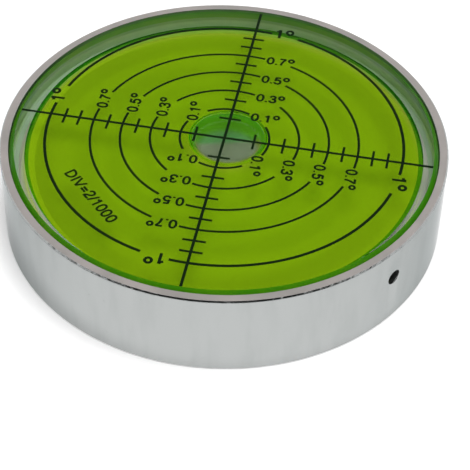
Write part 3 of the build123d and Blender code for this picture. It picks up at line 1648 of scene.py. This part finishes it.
@dataclass
class DialLettering:
    """Numbers and scale legend, printed on the lens beside the rings.

    Args:
        sizes: Sizes of the level.
        number_start: Where a number starts, measured from its arm.
        legend_text: The scale legend, which gives the value of one division.
        legend_height: Height of the legend.
        legend_pen: Width of its strokes.
        legend_turn: Its direction in degrees.
        legend_middle: Middle of the legend.
    """

    sizes: LevelSizes
    number_start: float = 2.66
    legend_text: str = "DIV=2/1000"
    legend_height: float = 1.54
    legend_pen: float = 0.31
    legend_turn: float = -45.0
    legend_middle: Point = (-14.67, -14.67)

    def numbers(self) -> list[Label]:
        """One label for each ring beside each arm.

        Returns:
            The labels.
        """
        labels = []
        for turn in (0.0, 90.0, 180.0, 270.0):
            for number in RING_NUMBERS:
                start = Vector((self.number_start, number.distance - number.height / 2))
                place = Matrix.Rotation(math.radians(turn), 2) @ start
                labels.append(Label(number.text, number.height, place, turn, number.pen))
        return labels

    def legend(self) -> list[Label]:
        """The scale legend, along the lower left of the dial.

        Returns:
            One label.
        """
        length = sum(GLYPHS[c].advance for c in self.legend_text) * self.legend_height
        corner = Vector((-length / 2, -self.legend_height / 2))
        turned = Matrix.Rotation(math.radians(self.legend_turn), 2) @ corner
        place = Vector(self.legend_middle) + turned
        return [Label(self.legend_text, self.legend_height, place, self.legend_turn, self.legend_pen)]

    def _pen_strokes(self, label: Label) -> bpy.types.Curve:
        """Draw one label as centrelines with a round pen.

        Args:
            label: What is written.

        Returns:
            A curve that starts at the origin.
        """
        curve_data = bpy.data.curves.new("pen", "CURVE")
        curve_data.dimensions = "3D"
        curve_data.bevel_depth = label.pen / 2 * MM
        curve_data.bevel_resolution = 1
        curve_data.use_fill_caps = True
        curve_data.resolution_u = 5
        along = 0.0
        for character in label.text:
            for stroke in GLYPHS[character].strokes:
                spline = curve_data.splines.new("BEZIER")
                spline.bezier_points.add(len(stroke.points) - 1)
                spline.use_cyclic_u = stroke.closed
                for knot, (x, y) in zip(spline.bezier_points, stroke.points):
                    knot.co = ((along + x) * label.height * MM, y * label.height * MM, 0.0)
                    kind = "AUTO" if stroke.curved else "VECTOR"
                    knot.handle_left_type = kind
                    knot.handle_right_type = kind
            along += GLYPHS[character].advance
        return curve_data

    def _write(self, label: Label) -> bmesh.types.BMesh:
        """Draw one label and press it flat on the lens.

        Args:
            label: What is written and where.

        Returns:
            The strokes as closed shells, in metres.
        """
        drawn = self._pen_strokes(label)
        holder = bpy.data.objects.new("pen", drawn)
        mesh = bpy.data.meshes.new_from_object(holder)
        bm = bmesh.new()
        bm.from_mesh(mesh)
        bpy.data.objects.remove(holder)
        bpy.data.curves.remove(drawn)
        bpy.data.meshes.remove(mesh)
        bmesh.ops.remove_doubles(bm, verts=bm.verts, dist=SAME_PLACE)
        thickness = self.sizes.print_thickness
        press = Matrix.Diagonal((1.0, 1.0, thickness / label.pen, 1.0))
        turn = Matrix.Rotation(math.radians(label.turn), 4, "Z")
        level = self.sizes.vial_top + thickness / 2
        move = Matrix.Translation(Vector((label.place.x, label.place.y, level)) * MM)
        bmesh.ops.transform(bm, matrix=move @ turn @ press, verts=bm.verts)
        return bm

    def build(self, finishes: Finishes) -> list[bpy.types.Object]:
        """Print the numbers and the legend.

        Args:
            finishes: Materials of the level.

        Returns:
            One piece for the numbers and one for the legend.
        """
        pieces = []
        for name, labels in (("dial_numbers", self.numbers()), ("dial_legend", self.legend())):
            bm = bmesh.new()
            for label in labels:
                joined(bm, self._write(label))
            bmesh.ops.recalc_face_normals(bm, faces=bm.faces)
            piece = as_object(name, bm)
            smooth(piece, 40.0)
            piece.data.materials.append(finishes.ink)
            hand_over(piece, Slot.INK)
            pieces.append(piece)
        return pieces


@dataclass(frozen=True)
class Viewpoint:
    """Camera of the photograph, worked out from the rings and the outline.

    Args:
        azimuth: Turn about the level's axis in degrees.
        elevation: Height above the horizon in degrees.
        roll: Turn about the line of sight in degrees.
        distance: From the lens to the middle of the dial, along the line of sight, in millimetres.
        across: How far the middle of the dial lies to the right of the line of sight.
        above: How far it lies above that line.
        focal: Focal length in millimetres on a 36 mm sensor.
        sensor: Width of that sensor.
        clip_start: Nearest distance that the camera shows, in metres.
    """

    azimuth: float = 9.532
    elevation: float = 44.504
    roll: float = 1.710
    distance: float = 216.742
    across: float = -1.405
    above: float = 12.998
    focal: float = 123.88
    sensor: float = 36.0
    clip_start: float = 0.01

    def build(self, dial_height: float) -> bpy.types.Object:
        """Place the camera.

        Args:
            dial_height: Height of the dial's middle in millimetres.

        Returns:
            The camera.
        """
        a = math.radians(self.azimuth)
        e = math.radians(self.elevation)
        r = math.radians(self.roll)
        back = Vector((math.sin(a) * math.cos(e), -math.cos(a) * math.cos(e), math.sin(e)))
        level = Vector((math.cos(a), math.sin(a), 0.0))
        upright = back.cross(level)
        right = level * math.cos(r) + upright * math.sin(r)
        up = upright * math.cos(r) - level * math.sin(r)
        middle = Vector((0.0, 0.0, dial_height))
        place = middle - right * self.across - up * self.above + back * self.distance
        data = bpy.data.cameras.new("camera")
        data.sensor_width = self.sensor
        data.lens = self.focal
        data.clip_start = self.clip_start
        camera = bpy.data.objects.new("camera", data)
        bpy.context.scene.collection.objects.link(camera)
        matrix = Matrix((right, up, back)).transposed().to_4x4()
        matrix.translation = place * MM
        camera.matrix_world = matrix
        bpy.context.scene.camera = camera
        return camera


@dataclass(frozen=True)
class Lamp:
    """Square lamp that points at the level.

    Args:
        name: Name of the lamp.
        place: Its place in metres.
        width: Its width in metres.
        power: Its power in watts.
    """

    name: str
    place: Place
    width: float
    power: float

    def build(self) -> None:
        """Hang the lamp, out of sight of metal and glass."""
        data = bpy.data.lights.new(self.name, "AREA")
        data.shape = "SQUARE"
        data.size = self.width
        data.energy = self.power
        lamp = bpy.data.objects.new(self.name, data)
        lamp.location = self.place
        lamp.rotation_euler = (-Vector(self.place)).to_track_quat("-Z", "Y").to_euler()
        lamp.visible_transmission = False
        lamp.visible_glossy = False
        bpy.context.scene.collection.objects.link(lamp)


@dataclass
class Studio:
    """Pale floor, soft lamps and the surroundings that the metal mirrors.

    Args:
        floor_drop: How far the floor lies under the base, in millimetres.
        floor_reach: Half of the floor's width in metres.
        paper: Two colours of the floor.
        lift: What lifts the floor to white, near the level and far from it.
        lift_zone: Distances in millimetres between which the lift grows.
        sky: Brightness of the surroundings at the horizon and overhead.
        sky_zone: Heights on the sky between which that changes.
        lamps: The key lamp overhead and the fill lamp at the side.
        bounces: How often light may bounce, at most.
        clear_bounces: How many clear faces it may pass.
        glossy_bounces: How often it may be mirrored.
    """

    floor_drop: float = 0.02
    floor_reach: float = 3.0
    paper: tuple[Colour, Colour] = ((0.84, 0.84, 0.84), (0.87, 0.87, 0.87))
    lift: Point = (0.26, 1.0)
    lift_zone: Point = (150.0, 500.0)
    sky: Point = (0.9, 0.03)
    sky_zone: Point = (0.42, 0.6)
    lamps: tuple[Lamp, ...] = (
        Lamp("key", (0.14, -0.1, 1.2), 0.5, 12.6),
        Lamp("fill", (0.9, 0.5, 0.8), 0.6, 0.3),
    )
    bounces: int = 24
    clear_bounces: int = 32
    glossy_bounces: int = 12

    def _floor(self) -> None:
        """Lay a wide pale floor that keeps the shadow and looks white."""
        bm = bmesh.new()
        bmesh.ops.create_grid(bm, x_segments=1, y_segments=1, size=self.floor_reach)
        bmesh.ops.translate(bm, vec=(0.0, 0.0, -self.floor_drop * MM), verts=bm.verts)
        floor = as_object("floor", bm)
        material, graph = new_material("pale_floor")
        vector = graph.where()
        colour = graph.blend(graph.noise(vector, scale=60.0, detail=3.0), *self.paper)
        paper = graph.output_of("BsdfPrincipled", {"Base Color": colour, "Roughness": 0.9})
        seen = graph.either("Is Camera Ray", "Is Glossy Ray", "Is Transmission Ray")
        lift = graph.product(seen, graph.rise(graph.length(vector), *self.lift_zone, *self.lift))
        glow = graph.output_of("Emission", {"Color": (*WHITE, 1.0), "Strength": lift})
        graph.add("OutputMaterial", {"Surface": graph.output_of("AddShader", {0: paper, 1: glow})})
        floor.data.materials.append(material)

    def _world(self) -> None:
        """Bright near the horizon and dim overhead, and white where the camera sees it."""
        world = bpy.data.worlds.new("studio")
        world.use_nodes = True
        graph = Graph(world.node_tree)
        height = graph.split(graph.add("TexCoord").outputs["Generated"])[2]
        level = graph.ramp(height, *self.sky_zone, *self.sky)
        strength = graph.math("MAXIMUM", level, graph.either("Is Camera Ray"))
        sky = graph.output_of("Background", {"Color": (*WHITE, 1.0), "Strength": strength})
        graph.add("OutputWorld", {"Surface": sky})
        bpy.context.scene.world = world

    def build(self) -> None:
        """Set up the floor, the surroundings and the lamps."""
        self._floor()
        self._world()
        for lamp in self.lamps:
            lamp.build()
        scene = bpy.context.scene
        scene.view_settings.view_transform = "Standard"
        scene.cycles.max_bounces = self.bounces
        scene.cycles.transmission_bounces = self.bounces
        scene.cycles.transparent_max_bounces = self.clear_bounces
        scene.cycles.glossy_bounces = self.glossy_bounces


def dress_cad_nodes(finishes: Finishes) -> None:
    """Give the CAD nodes that stay their finish.

    Args:
        finishes: Materials of the level.
    """
    kept = (
        ("fill_plug", finishes.rubber, Slot.RUBBER),
        ("dial_print", finishes.ink, Slot.INK),
    )
    for name, material, slot in kept:
        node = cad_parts[name]
        node.data.materials.clear()
        node.data.materials.append(material)
        LOG.info("%s keeps its CAD mesh, finish %s", name, slot.value)


def main() -> None:
    """Build the level piece by piece in its studio."""
    logging.basicConfig(level=logging.INFO, format="%(message)s")
    sizes = LevelSizes()
    bubble = Bubble()
    Viewpoint().build(sizes.vial_top)
    finishes = Finishes(sizes, bubble)
    port = SidePort(sizes)
    chamber = Chamber(sizes)
    Cup(sizes, port).build(finishes)
    Vial(sizes, port, chamber).build(finishes)
    Fluid(sizes, chamber, bubble).build(finishes)
    BondBed(sizes).build(finishes)
    DialLettering(sizes).build(finishes)
    dress_cad_nodes(finishes)
    Studio().build()


if __name__ == "__main__":
    main()
